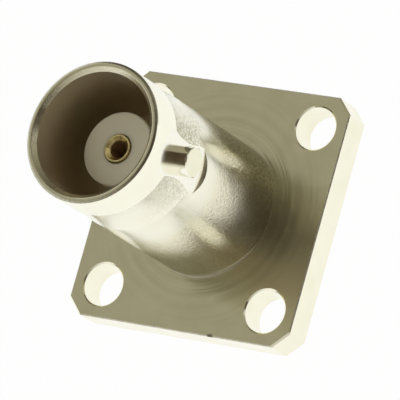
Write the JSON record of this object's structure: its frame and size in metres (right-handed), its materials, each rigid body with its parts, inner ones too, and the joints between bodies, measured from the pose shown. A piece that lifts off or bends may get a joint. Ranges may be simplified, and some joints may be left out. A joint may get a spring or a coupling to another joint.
{
  "type": "bnc connector",
  "caption": "Flanged bayonet coaxial jack for a panel: plated body with bayonet lugs and a drilled square flange, white insulators and a slotted centre socket with a solder cup.",
  "frame": {"origin": "centre of the flange's rear face, on the shell's axis", "axes": "+Z along the shell's axis out of the mouth, +X towards one bayonet lug, flange sides along X and Y"},
  "size_m": [0.0174, 0.0174, 0.0252],
  "materials": {
    "nickel_plate": "nickel plated, turned and satin",
    "white_insulator": "matt white fluoropolymer",
    "gold_plate": "gold plated, bright"
  },
  "bodies": {
    "root": {"body": "nickel_plate", "front_insulator": "white_insulator", "rear_insulator": "white_insulator", "socket_contact": "gold_plate"}
  },
  "joints": []
}
